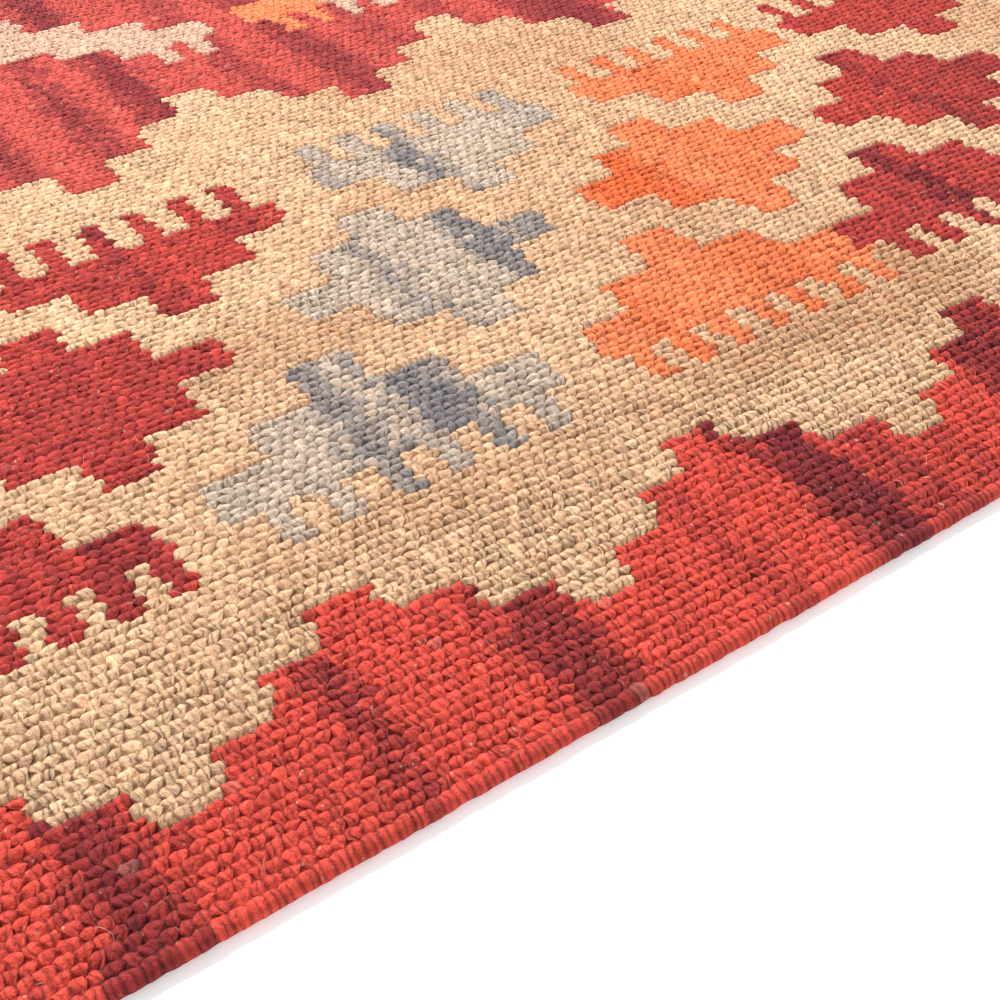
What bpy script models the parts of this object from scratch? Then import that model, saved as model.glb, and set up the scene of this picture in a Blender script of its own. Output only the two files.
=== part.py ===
"""A flat-woven wool kilim rug, lying flat: one sheet of cloth with rounded selvedges and plain ends.

Metres, +Z up. X runs along the warps, which is the rug's length, and Y along the wefts. The origin is
the middle of the rug's underside, so the rug rests on z = 0.
"""

import math

import bpy
import numpy as np

# Driving dimensions
LENGTH = 0.900  # along the warps, outside of one end to the other
WIDTH = 0.600  # along the wefts, selvedge to selvedge
THICKNESS = 0.0044  # of the cloth, on average
SPACING_ALONG = 0.025  # between the sheet's stations, each way
SPACING_ACROSS = 0.025

# How far the handwork is from straight and level
SELVEDGE_WANDER = 0.0009  # the selvedges draw in and out by this much
END_WANDER = 0.0012  # the two ends bow by this much
UNEVENNESS = 0.0002  # the cloth is this much thicker and thinner in places

RIM_STEPS = 6  # facets round the half-round edge

MATERIAL = {"name": "kilim_wool", "colour": (0.53, 0.21, 0.13, 1.0), "roughness": 0.95}


def remove_everything():
    for thing in list(bpy.data.objects):
        bpy.data.objects.remove(thing, do_unlink=True)


def ripple(place, wavelength, phase):
    """A slow wave with a quicker one on it, from -1 to 1."""
    slow = np.sin(2 * math.pi * place / wavelength + phase)
    quick = np.sin(2 * math.pi * place / (0.37 * wavelength) + 2.3 * phase)
    return 0.65 * slow + 0.35 * quick


def outline_grid():
    """x and y of the sheet's stations, out to where the edges begin to turn down."""
    radius = THICKNESS / 2
    columns = round(LENGTH / SPACING_ALONG) + 1
    rows = round(WIDTH / SPACING_ACROSS) + 1
    along, across = np.meshgrid(np.linspace(-1, 1, columns), np.linspace(-1, 1, rows), indexing="ij")
    x = along * (LENGTH / 2 - radius)
    y = across * (WIDTH / 2 - radius)
    front, back = ripple(x, 0.46, 0.7), ripple(x, 0.39, 2.1)
    near, far = ripple(y, 0.52, 1.2), ripple(y, 0.43, 3.0)
    x = x + END_WANDER / 2 * ((1 - along) * near + (1 + along) * far) / 2
    y = y + SELVEDGE_WANDER / 2 * ((1 - across) * front + (1 + across) * back) / 2
    return centred(x, LENGTH / 2 - radius), centred(y, WIDTH / 2 - radius)


def centred(values, half_extent):
    """The values moved and stretched to reach from -half_extent to half_extent."""
    middle, reach = (values.max() + values.min()) / 2, (values.max() - values.min()) / 2
    return (values - middle) * half_extent / reach


def rim_indices(columns, rows):
    """The grid's outermost stations, once round, anticlockwise from above."""
    front = [(i, 0) for i in range(columns - 1)]
    far_end = [(columns - 1, j) for j in range(rows - 1)]
    back = [(i, rows - 1) for i in range(columns - 1, 0, -1)]
    near_end = [(0, j) for j in range(rows - 1, 0, -1)]
    return front + far_end + back + near_end


def outward(rim):
    """The unit vector that points away from the cloth at each rim station."""
    before, after = np.roll(rim, 1, axis=0), np.roll(rim, -1, axis=0)
    run = after - before
    normal = np.stack([run[:, 1], -run[:, 0]], axis=1)
    return normal / np.linalg.norm(normal, axis=1, keepdims=True)


def cloth_mesh():
    """Top and underside grids, joined by a half-round rim."""
    x, y = outline_grid()
    columns, rows = x.shape
    level = ripple(x + 0.4 * y, 0.31, 0.4) * ripple(y, 0.27, 1.9)
    inside = np.zeros_like(x)
    inside[1:-1, 1:-1] = 1.0
    top = np.stack([x, y, THICKNESS + UNEVENNESS * level * inside], axis=-1)
    under = np.stack([x, y, np.zeros_like(x)], axis=-1)

    rim = rim_indices(columns, rows)
    line = np.array([(x[k], y[k]) for k in rim])
    away = outward(line)
    radius = THICKNESS / 2
    rings = []
    for step in range(1, RIM_STEPS):
        turn = math.pi * step / RIM_STEPS
        out = line + away * radius * math.sin(turn)
        height = np.full((len(rim), 1), radius + radius * math.cos(turn))
        rings.append(np.hstack([out, height]))

    def top_at(i, j):
        return i * rows + j

    def under_at(i, j):
        return columns * rows + i * rows + j

    def ring_at(ring, k):
        return 2 * columns * rows + ring * len(rim) + k % len(rim)

    faces = []
    for i in range(columns - 1):
        for j in range(rows - 1):
            square = [(i, j), (i + 1, j), (i + 1, j + 1), (i, j + 1)]
            faces.append([top_at(*corner) for corner in square])
            faces.append([under_at(*corner) for corner in reversed(square)])
    levels = [lambda k: top_at(*rim[k % len(rim)])]
    levels += [lambda k, ring=ring: ring_at(ring, k) for ring in range(len(rings))]
    levels += [lambda k: under_at(*rim[k % len(rim)])]
    for upper, lower in zip(levels, levels[1:]):
        faces += [[upper(k), lower(k), lower(k + 1), upper(k + 1)] for k in range(len(rim))]

    points = np.vstack([top.reshape(-1, 3), under.reshape(-1, 3), *rings])
    mesh = bpy.data.meshes.new("kilim_cloth")
    mesh.from_pydata(points.tolist(), [], faces)
    mesh.validate()
    return mesh


def wool():
    material = bpy.data.materials.new(MATERIAL["name"])
    material.use_nodes = True
    shader = material.node_tree.nodes["Principled BSDF"]
    shader.inputs["Base Color"].default_value = MATERIAL["colour"]
    shader.inputs["Roughness"].default_value = MATERIAL["roughness"]
    shader.inputs["Metallic"].default_value = 0.0
    return material


def build():
    remove_everything()
    mesh = cloth_mesh()
    mesh.materials.append(wool())
    mesh.shade_smooth()
    cloth = bpy.data.objects.new("kilim_cloth", mesh)
    bpy.context.scene.collection.objects.link(cloth)


build()
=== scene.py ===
"""The looks of a handwoven wool kilim rug, woven float by float from its chart.

It is laid out as a Blender add-on: the sizes and dyes are properties, each group of pieces has its
operator, and a panel in the 3D view's sidebar lists them. Metres, +Z up, X along the warps.
"""

import math

import bpy
import numpy as np
from mathutils import Euler, Matrix, Vector


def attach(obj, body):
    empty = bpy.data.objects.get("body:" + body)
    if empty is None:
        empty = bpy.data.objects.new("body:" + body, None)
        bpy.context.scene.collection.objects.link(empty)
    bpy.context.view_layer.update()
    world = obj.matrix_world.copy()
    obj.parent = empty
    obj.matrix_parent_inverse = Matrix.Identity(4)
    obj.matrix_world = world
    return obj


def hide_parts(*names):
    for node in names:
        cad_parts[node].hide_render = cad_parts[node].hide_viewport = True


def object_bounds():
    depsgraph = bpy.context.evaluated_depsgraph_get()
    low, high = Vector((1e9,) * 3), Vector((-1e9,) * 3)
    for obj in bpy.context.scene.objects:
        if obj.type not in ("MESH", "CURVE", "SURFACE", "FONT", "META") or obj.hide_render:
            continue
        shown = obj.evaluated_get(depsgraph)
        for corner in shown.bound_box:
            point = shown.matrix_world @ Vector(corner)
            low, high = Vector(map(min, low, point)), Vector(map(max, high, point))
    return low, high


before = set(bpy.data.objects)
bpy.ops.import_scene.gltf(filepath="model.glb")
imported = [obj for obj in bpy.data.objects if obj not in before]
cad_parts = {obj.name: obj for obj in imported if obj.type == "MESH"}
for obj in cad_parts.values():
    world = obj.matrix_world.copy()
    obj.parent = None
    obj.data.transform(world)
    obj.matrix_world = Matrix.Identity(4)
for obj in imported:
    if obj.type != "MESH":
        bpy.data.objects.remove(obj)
CAD_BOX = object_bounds()

bl_info = {
    "name": "Kilim Rug",
    "version": (1, 0, 0),
    "blender": (4, 5, 0),
    "location": "View3D > Sidebar > Kilim",
    "description": "Weaves a flat wool kilim from its chart, with its stray wool and a plain stage",
    "category": "Add Mesh",
}

# The chart counts in steps: a run is ten picks along the rug, a level is four warps across it.
RUN = 0.020
WARPS_A_LEVEL = 4
MIDDLE_RUN = 9.5  # the chart's run at the middle of the rug's length
FIRST_LEVEL_WARP = 9  # plain warps along the front selvedge, below level 0
END_BAND_RUNS = 1.0  # the plain band at either end
LEAN = 0.08  # runs by which a step is wider at its foot than at its head

# Dyes by number, as each float carries one
MADDER, SAND, ORANGE, SLATE, IVORY, FIELD = range(6)

# Motifs of the ground: tiers as (width in runs, height in levels), from the front selvedge inwards
COMB_TIERS = ((5.9, 1.3), (3.5, 1.4), (1.1, 1.35))
LOZENGE_TIERS = ((1.0, 1.3), (3.1, 1.35), (5.3, 1.4), (3.1, 1.35), (1.05, 1.3))
CREST_TIERS = ((1.05, 1.3), (3.3, 1.35), (5.6, 1.3))
TOOTH_WIDTH = 0.44
TOOTH_LENGTH = 1.3

# Where each motif stands: kind, dye, middle run, foot level, teeth, runs from one tooth to the
# next, and its darker streaks of yarn as (runs from the middle, half width, depth)
MOTIFS = (
    ("lozenge", ORANGE, -7.3, 8.6, 0, 0, ((-1.2, 0.5, 0.6),)),
    ("crest", ORANGE, -4.3, 14.0, 6, 0.9, ((0.8, 0.4, 0.6),)),
    ("comb", MADDER, -3.75, 6.05, 8, 0.79, ((2.35, 0.65, 0.95), (0.9, 0.2, 0.4))),
    ("lozenge", MADDER, -0.6, 8.5, 0, 0, ((2.2, 0.5, 0.7), (0.1, 0.15, 0.3))),
    ("crest", MADDER, 2.2, 13.9, 6, 0.9, ((-0.3, 0.35, 0.8), (1.8, 0.4, 0.75))),
    ("comb", SLATE, 3.0, 6.1, 6, 0.9, ((-0.35, 0.4, 0.8), (1.05, 0.55, 1.0), (2.3, 0.3, 0.4))),
    ("lozenge", SLATE, 6.15, 9.0, 0, 0, ((-0.7, 0.25, 0.8), (1.3, 0.42, 1.0), (2.4, 0.5, 0.85))),
    ("crest", SLATE, 8.95, 14.7, 6, 0.9, ((-2.6, 0.3, 0.7), (-0.7, 0.4, 1.0), (2.2, 0.35, 0.5))),
    ("comb", ORANGE, 9.85, 6.1, 7, 0.83, ((-1.6, 0.3, 0.6), (1.1, 0.9, 0.6))),
    ("lozenge", ORANGE, 12.6, 9.1, 0, 0, ((-1.6, 0.9, 0.9), (0.5, 0.2, 0.4), (1.7, 0.3, 0.4))),
    ("crest", ORANGE, 15.6, 14.7, 6, 0.9, ((-1.0, 0.4, 0.7), (0.3, 0.3, 0.3))),
    ("comb", MADDER, 15.65, 6.3, 6, 0.9, ((-0.15, 0.4, 1.0), (0.8, 0.2, 0.4))),
    ("lozenge", MADDER, 18.65, 8.95, 0, 0, ((-0.3, 0.3, 0.9), (2.0, 0.6, 0.7))),
    ("crest", MADDER, 21.7, 14.7, 6, 0.9, ((-1.8, 0.3, 0.6),)),
    ("comb", SLATE, 22.2, 6.3, 6, 0.9, ((0.6, 0.6, 0.9),)),
    ("lozenge", SLATE, 25.2, 9.0, 0, 0, ((-1.0, 0.4, 0.8), (1.4, 0.5, 0.8))),
    ("crest", SLATE, 28.1, 14.7, 6, 0.9, ((0.4, 0.5, 0.9),)),
)

# The border's and the field's own streaks: middle run, half width, depth
BORDER_STREAKS = (
    (-9.4, 0.6, 0.9), (-6.2, 0.3, 0.6), (-3.5, 0.5, 0.9), (-0.3, 0.24, 0.8), (2.4, 0.55, 0.95),
    (5.35, 0.22, 0.45), (7.45, 0.5, 1.0), (8.5, 0.4, 0.5), (9.5, 0.15, 0.5), (12.0, 0.95, 0.9),
    (15.3, 0.5, 0.7), (18.6, 0.8, 0.9), (22.0, 0.3, 0.6), (25.4, 0.6, 0.9), (28.8, 0.4, 0.7),
)
FIELD_STREAKS = (
    (-8.0, 0.5, 0.7), (-3.2, 0.4, 0.6), (0.0, 0.4, 0.5), (1.7, 0.3, 0.7), (3.5, 0.3, 1.0),
    (5.1, 0.45, 1.0), (7.7, 0.3, 0.6), (9.5, 0.5, 0.8), (11.3, 0.3, 0.4), (13.2, 0.3, 0.5),
    (15.5, 0.9, 0.8), (19.0, 0.5, 0.7), (24.2, 0.6, 0.6), (27.5, 0.3, 0.7),
)

# Where the ground is browner, or paler if less than 0: run, level, half length, half height, depth
GROUND_CLOUDS = (
    (3.0, 11.2, 3.0, 1.5, 0.5), (9.5, 4.2, 3.5, 1.3, 0.45), (6.9, 16.0, 0.8, 1.5, 0.5),
    (12.9, 5.3, 0.8, 1.8, 0.6), (11.3, 10.6, 1.4, 1.4, 0.4), (2.6, 4.4, 1.6, 1.2, 0.3),
    (0.6, 15.4, 1.3, 2.2, -0.4),
    (11.0, 23.2, 7.0, 2.5, 0.18), (16.5, 17.5, 1.5, 3.0, -0.3),
    (15.2, 4.0, 1.3, 1.6, -0.4), (10.3, 2.0, 1.5, 1.0, -0.35), (-2.0, 2.6, 1.6, 1.0, -0.2),
    (8.4, 2.3, 1.5, 0.9, -0.5), (14.8, 21.5, 2.6, 3.0, 0.3), (20.0, 8.0, 1.5, 2.0, 0.4),
    (24.0, 14.0, 1.5, 3.0, 0.3), (-5.5, 12.0, 1.2, 3.0, 0.4),
)

# The field's figure, as blocks: dye, from run, to run, foot level, head level
FIGURE = (
    (IVORY, 3.2, 4.5, 32.1, 35.7),
    (IVORY, 4.4, 5.7, 31.1, 34.0),
    (IVORY, 5.65, 6.9, 29.85, 32.8),
    (IVORY, 6.9, 8.1, 29.9, 31.5),
    (IVORY, 6.35, 6.8, 28.4, 29.9),
    (IVORY, 7.25, 7.7, 28.4, 29.9),
    (ORANGE, 9.1, 11.2, 30.0, 31.65),
    (ORANGE, 9.95, 11.2, 31.65, 33.0),
    (ORANGE, 9.6, 10.05, 28.4, 30.0),
    (ORANGE, 10.5, 10.9, 28.5, 30.0),
    (IVORY, 11.2, 12.5, 30.0, 31.5),
    (IVORY, 11.35, 11.8, 28.5, 30.0),
    (IVORY, 12.2, 12.65, 28.5, 30.0),
    (IVORY, 12.4, 13.7, 30.0, 32.8),
    (IVORY, 13.6, 14.9, 31.1, 34.0),
    (IVORY, 14.8, 16.0, 32.1, 35.7),
)
FIGURE_REPEAT = 13.4

BORDER_REPEAT = 6.0
BORDER_PEAK = 0.5
FIELD_REPEAT = 6.7
FIELD_TOOTH = 2.6  # the run of one of the field's outward teeth
FIELD_STEP = 1.12  # runs, half of what each tier of a tooth is wider than the last
FIELD_RISE = 1.4  # levels in each of those tiers

BANDS = 5  # the cloth is kept in this many lengths, to keep each mesh a fair size
SPARE_FLOATS = 2  # at either end of a row, over the turned-down ends
FLECK_SHARE = 0.004  # of the floats, with a little undyed fibre
FLOOR_SIZE = 18.0
FLOOR_GAP = 0.0002  # between the floor and the underside


def colour(hex_code):
    """A linear colour from its sRGB hex code."""
    channels = [int(hex_code[i : i + 2], 16) / 255 for i in (1, 3, 5)]
    return tuple(c / 12.92 if c <= 0.04045 else ((c + 0.055) / 1.055) ** 2.4 for c in channels)


def add(tree, kind, inputs=(), **settings):
    """Adds a node with its settings, its values and its links.

    A kind in capitals is the operation of a maths node. The inputs are values in order, or a dict
    by socket, and a node given as a value links its first output.
    """
    if kind.isupper():
        kind, settings = "ShaderNodeMath", {"operation": kind}
    node = tree.nodes.new(kind)
    for name, value in settings.items():
        setattr(node, name, value)
    for socket, value in (inputs if isinstance(inputs, dict) else dict(enumerate(inputs))).items():
        if isinstance(value, bpy.types.Node):
            value = value.outputs[0]
        if isinstance(value, bpy.types.NodeSocket):
            tree.links.new(value, node.inputs[socket])
        else:
            node.inputs[socket].default_value = value
    return node


# Properties ---------------------------------------------------------------------------------


def length(name, description, default):
    """A length in metres."""
    return bpy.props.FloatProperty(
        name=name, description=description, default=default, unit="LENGTH"
    )


def share(name, description, default):
    """A plain number."""
    return bpy.props.FloatProperty(name=name, description=description, default=default)


def angle(name, description, degrees):
    """An angle."""
    return bpy.props.FloatProperty(
        name=name, description=description, default=math.radians(degrees), subtype="ANGLE"
    )


def tint(name, description, hex_code):
    """A colour from its hex code."""
    return bpy.props.FloatVectorProperty(
        name=name, description=description, default=colour(hex_code), subtype="COLOR"
    )


def point(name, description, default):
    """A place in metres."""
    return bpy.props.FloatVectorProperty(
        name=name, description=description, default=default, subtype="XYZ", unit="LENGTH"
    )


class KilimWeave(bpy.types.PropertyGroup):
    """The sizes of the weave"""

    warps: bpy.props.IntProperty(
        name="Warps", description="Warps from selvedge to selvedge", default=170, min=20
    )
    floats: bpy.props.IntProperty(
        name="Floats", description="Weft floats along one warp", default=224, min=20
    )
    thickness: length("Thickness", "Thickness of the cloth", 0.0044)
    relief: length("Relief", "Height of a float over the pits beside it", 0.0016)
    shoulder: share("Shoulder", "Height where two floats of a row meet, as a share", 0.52)
    saddle: share("Saddle", "Height where floats of two rows meet, as a share", 0.16)
    bulge: share("Bulge", "How far a float's tips reach into the next rows", 0.17)
    spread: share("Spread", "How much broader a float's back is than a plain wave", 0.07)
    plumpness: share("Uneven spinning", "How much the floats differ in height", 0.45)
    slit: length("Slit", "Extra depth where two dyes meet", 0.0005)
    wobble: length("Wobble", "Slow straying of rows and picks", 0.0032)
    crumple: length("Crumple", "Straying from float to float", 0.0030)
    lean: length("Lean", "How far a float's back leans aside", 0.0006)
    flank: share("Strand backs", "Extra height of the two strands where they part", 0.40)
    notch: share("Strand notch", "Depth between the two strands where they part", 0.72)
    seed: bpy.props.IntProperty(name="Seed", description="Seed of all the handwork", default=7)


class KilimDyes(bpy.types.PropertyGroup):
    """The colours of the yarns"""

    madder: tint("Madder", "Red of the border and motifs", "#DA4C3D")
    madder_deep: tint("Deep madder", "Streaks in the red", "#7A2128")
    field: tint("Field", "Red of the field", "#C44F45")
    field_deep: tint("Deep field", "Streaks in the field", "#7F262C")
    sand: tint("Sand", "Ground", "#E0B691")
    sand_deep: tint("Camel", "Browner yarn in the ground", "#B98862")
    orange: tint("Orange", "Orange motifs", "#EA8253")
    orange_deep: tint("Deep orange", "Streaks in the orange", "#D8602F")
    slate: tint("Pale grey", "Grey motifs", "#CBB39C")
    slate_deep: tint("Slate", "Blue-grey streaks", "#7B7475")
    ivory: tint("Ivory", "Figures of the field", "#C69F89")
    stray: tint("Undyed", "Stray undyed fibre", "#E6D2BC")


class KilimFuzz(bpy.types.PropertyGroup):
    """The stray wool that stands out of the cloth"""

    density: share("Density", "Stray fibres in a square metre", 2800)
    length: length("Length", "Length of the longest", 0.0075)
    width: length("Width", "Thickness of a fibre", 0.00010)


class KilimStage(bpy.types.PropertyGroup):
    """The studio round the rug"""

    floor: tint("Floor", "Floor colour", "#F7F7F7")
    sky: share("Fill", "Strength of the fill light", 0.6)
    key: bpy.props.FloatProperty(
        name="Key light", description="Power of the large softbox", default=48.5, unit="POWER"
    )
    key_place: point("Key place", "Place of the large softbox", (-0.35, 1.0, 1.38))
    key_size: length("Key size", "Width of the large softbox", 0.6)
    target: point("Target", "What the camera looks at", (-0.1222, -0.2190, 0.0044))
    turn: angle("Turn", "Camera heading from +Y towards +X", 33.8)
    drop: angle("Drop", "Camera angle below the horizon", 39.22)
    roll: angle("Roll", "Camera roll", 1.9)
    distance: length("Distance", "Camera to rug", 0.3973)
    lens: share("Lens", "Focal length in mm", 50.65)


# The chart ----------------------------------------------------------------------------------


def border_height(run, level):
    """True where the border's stepped peaks reach."""
    away = np.abs((run - BORDER_PEAK + BORDER_REPEAT / 2) % BORDER_REPEAT - BORDER_REPEAT / 2)
    tier = np.floor(level)
    reach = 2.5 - tier + LEAN * (0.5 - (level - tier))
    return (level < 0) | ((level < 3) & (away < reach))


def field_depth(run, level):
    """True where the field and its outward teeth reach."""
    foot = np.interp(run, (FIELD_TOOTH, FIELD_TOOTH + FIELD_REPEAT), (21.5, 22.25))
    away = np.abs((run - FIELD_TOOTH + FIELD_REPEAT / 2) % FIELD_REPEAT - FIELD_REPEAT / 2)
    climb = (level - foot) / FIELD_RISE
    tier = np.floor(climb)
    reach = FIELD_STEP * (tier + 0.5) + LEAN * (climb - tier - 0.5)
    return (climb >= 0) & ((tier >= 3) | (away < reach))


def motif_mask(kind, middle, foot, teeth, pitch, run, level):
    """True where one motif's tiers and teeth reach."""
    tiers = {"comb": COMB_TIERS, "lozenge": LOZENGE_TIERS, "crest": CREST_TIERS}[kind]
    inside = np.zeros(run.shape, bool)
    at = foot
    for width, height in tiers:
        share = (level - at) / height
        growing = -1 if kind == "comb" or (kind == "lozenge" and at > foot + 3.2) else 1
        half = width / 2 + LEAN * growing * (share - 0.5)
        inside |= (share >= 0) & (share < 1) & (np.abs(run - middle) < half)
        at += height
    low, high = (foot - TOOTH_LENGTH, foot) if kind == "comb" else (at, at + TOOTH_LENGTH + 0.3)
    for tooth in range(teeth):
        place = middle + pitch * (tooth - (teeth - 1) / 2)
        inside |= (level >= low) & (level < high) & (np.abs(run - place) < TOOTH_WIDTH / 2)
    return inside


def streak_depth(run, streaks):
    """How much of the deeper yarn shows at each run, 0 to 1."""
    depth = np.zeros(run.shape)
    for middle, half, strength in streaks:
        edge = np.clip((half + 0.2 - np.abs(run - middle)) / 0.4, 0, 1)
        depth = np.maximum(depth, strength * edge)
    return depth


def charted(run, level, frayed):
    """The dye of each float, a number for its patch of cloth, and its streak depth.

    The streaks are looked up at `frayed` runs, which stray more than the chart's own edges.
    """
    dye = np.full(run.shape, SAND)
    patch = np.zeros(run.shape, int)
    depth = np.full(run.shape, 0.22)
    for middle, height, half_run, half_level, strength in GROUND_CLOUDS:
        off = ((frayed - middle) / half_run) ** 2 + ((level - height) / half_level) ** 2
        depth += strength * np.exp(-off)

    border = border_height(run, level)
    dye[border] = MADDER
    patch[border] = 1
    depth[border] = streak_depth(frayed, BORDER_STREAKS)[border]

    field = field_depth(run, level)
    dye[field] = FIELD
    patch[field] = 2
    depth[field] = streak_depth(frayed, FIELD_STREAKS)[field]

    for number, (kind, own_dye, middle, foot, teeth, pitch, streaks) in enumerate(MOTIFS):
        inside = motif_mask(kind, middle, foot, teeth, pitch, run, level) & ~border & ~field
        dye[inside] = own_dye
        patch[inside] = 10 + number
        plain_depth = {MADDER: 0.55, SLATE: 0.18}.get(own_dye, 0.0)
        depth[inside] = np.maximum(streak_depth(frayed - middle, streaks), plain_depth)[inside]

    for repeat in (-1, 0, 1):
        for number, (own_dye, start, end, foot, head) in enumerate(FIGURE):
            start_here, end_here = start + repeat * FIGURE_REPEAT, end + repeat * FIGURE_REPEAT
            inside = (run > start_here) & (run < end_here) & (level >= foot) & (level < head)
            dye[inside] = own_dye
            patch[inside] = 60 + 30 * repeat + number // 6
            depth[inside] = 0.0

    half_length = (CAD_BOX[1].x - CAD_BOX[0].x) / 2 / RUN
    plain = np.abs(run - MIDDLE_RUN) > half_length - END_BAND_RUNS
    dye[plain] = MADDER
    patch[plain] = 1
    depth[plain] = streak_depth(frayed, BORDER_STREAKS)[plain]
    return dye, patch, depth


# The cloth ----------------------------------------------------------------------------------


def smooth_noise(rng, count, span):
    """A wandering line of `count` values, about -1 to 1, that turns every `span` steps."""
    knots = rng.uniform(-1, 1, count // span + 3)
    place = np.arange(count) / span
    return np.interp(place, np.arange(len(knots)), knots)


def float_yarns(weave, dyes):
    """What each float is woven from: its colour, its patch of cloth and a random number.

    Rows are warps. On even warps float k lies over place k, on odd ones over k + 0.5.
    """
    rng = np.random.default_rng(weave.seed)
    rows = np.arange(weave.warps)[:, None]
    floats = np.arange(-SPARE_FLOATS, weave.floats + SPARE_FLOATS + 1)[None, :]
    place = floats + 0.5 * (rows % 2)
    pitch = float_pitch(weave)
    x = CAD_BOX[0].x + weave.thickness / 2 + pitch * place
    run = x / RUN + MIDDLE_RUN
    level = (rows + 0.5 - FIRST_LEVEL_WARP) / WARPS_A_LEVEL + 0 * place
    frayed = run + rng.normal(0, 0.1, run.shape)
    frayed += 0.14 * np.stack([smooth_noise(rng, weave.warps, 5) for _ in range(run.shape[1])], 1)
    dye, patch, depth = charted(run + rng.uniform(-0.02, 0.02, run.shape), level, frayed)
    depth *= 0.85

    pick = 2 * (floats + SPARE_FLOATS) + rows % 2
    picks = pick.max() + 1
    patches = patch.max() + 1
    by_pick = rng.normal(0, 1, (patches, picks))
    slow = np.stack([smooth_noise(rng, picks, 17) for _ in range(patches)])
    along_weft = np.stack([smooth_noise(rng, weave.warps, 23) for _ in range(patches)])
    shade = 0.5 * by_pick[patch, pick] + 0.8 * slow[patch, pick]
    shade += 0.6 * along_weft[patch, rows + 0 * pick]
    single = rng.normal(0, 1, run.shape)

    plain = np.array([dyes.madder, dyes.sand, dyes.orange, dyes.slate, dyes.ivory, dyes.field])
    deep = np.array([
        dyes.madder_deep, dyes.sand_deep, dyes.orange_deep, dyes.slate_deep, dyes.sand,
        dyes.field_deep,
    ])
    loose = np.array([0.18, 0.26, 0.2, 0.16, 0.12, 0.2])[dye]
    mix = np.clip(depth + loose * (0.7 * shade + 0.3 * single + 0.35), 0, 1)[..., None]
    yarn = plain[dye] * (1 - mix) + deep[dye] * mix
    brightness = 1 + 0.06 * rng.normal(0, 1, run.shape) + 0.035 * shade
    yarn = yarn * brightness[..., None]
    yarn *= 1 + 0.012 * rng.normal(0, 1, run.shape + (3,))
    fleck = (rng.random(run.shape) < FLECK_SHARE)[..., None]
    yarn = np.where(fleck, 0.92 * yarn + 0.08 * np.array(dyes.stray), yarn)
    return np.clip(yarn, 0.004, 0.95), patch, rng.random(run.shape)


def float_pitch(weave):
    """Metres along the rug from one float to the next on the same warp."""
    return (CAD_BOX[1].x - CAD_BOX[0].x - weave.thickness) / weave.floats


def warp_pitch(weave):
    """Metres across the rug from one warp to the next."""
    return (CAD_BOX[1].y - CAD_BOX[0].y - weave.thickness) / (weave.warps - 1)


def float_at(weave, row, place):
    """Column of the yarn table for a point of a row."""
    k = np.where(row % 2 == 0, np.floor(place + 0.5), np.floor(place)).astype(int)
    return np.clip(k + SPARE_FLOATS, 0, weave.floats + 2 * SPARE_FLOATS)


def ripple(place, wavelength, phase):
    """A slow wave with a quicker one on it, from -1 to 1."""
    slow = np.sin(2 * math.pi * place / wavelength + phase)
    quick = np.sin(2 * math.pi * place / (0.37 * wavelength) + 2.3 * phase)
    return 0.65 * slow + 0.35 * quick


def hand_drawn(x, y):
    """The plan places with the wander of the selvedges and ends."""
    end_wander, selvedge_wander = 0.0012, 0.0009
    along, across = x / CAD_BOX[1].x, y / CAD_BOX[1].y
    front, back = ripple(x, 0.46, 0.7), ripple(x, 0.39, 2.1)
    near, far = ripple(y, 0.52, 1.2), ripple(y, 0.43, 3.0)
    moved_x = x + end_wander / 2 * ((1 - along) * near + (1 + along) * far) / 2
    moved_y = y + selvedge_wander / 2 * ((1 - across) * front + (1 + across) * back) / 2
    return moved_x, moved_y


def outward(line):
    """The unit vector that points away from the cloth at each place of its outline."""
    run = np.roll(line, -1, axis=0) - np.roll(line, 1, axis=0)
    normal = np.stack([run[:, 1], -run[:, 0]], axis=1)
    return normal / np.linalg.norm(normal, axis=1, keepdims=True)


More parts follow.
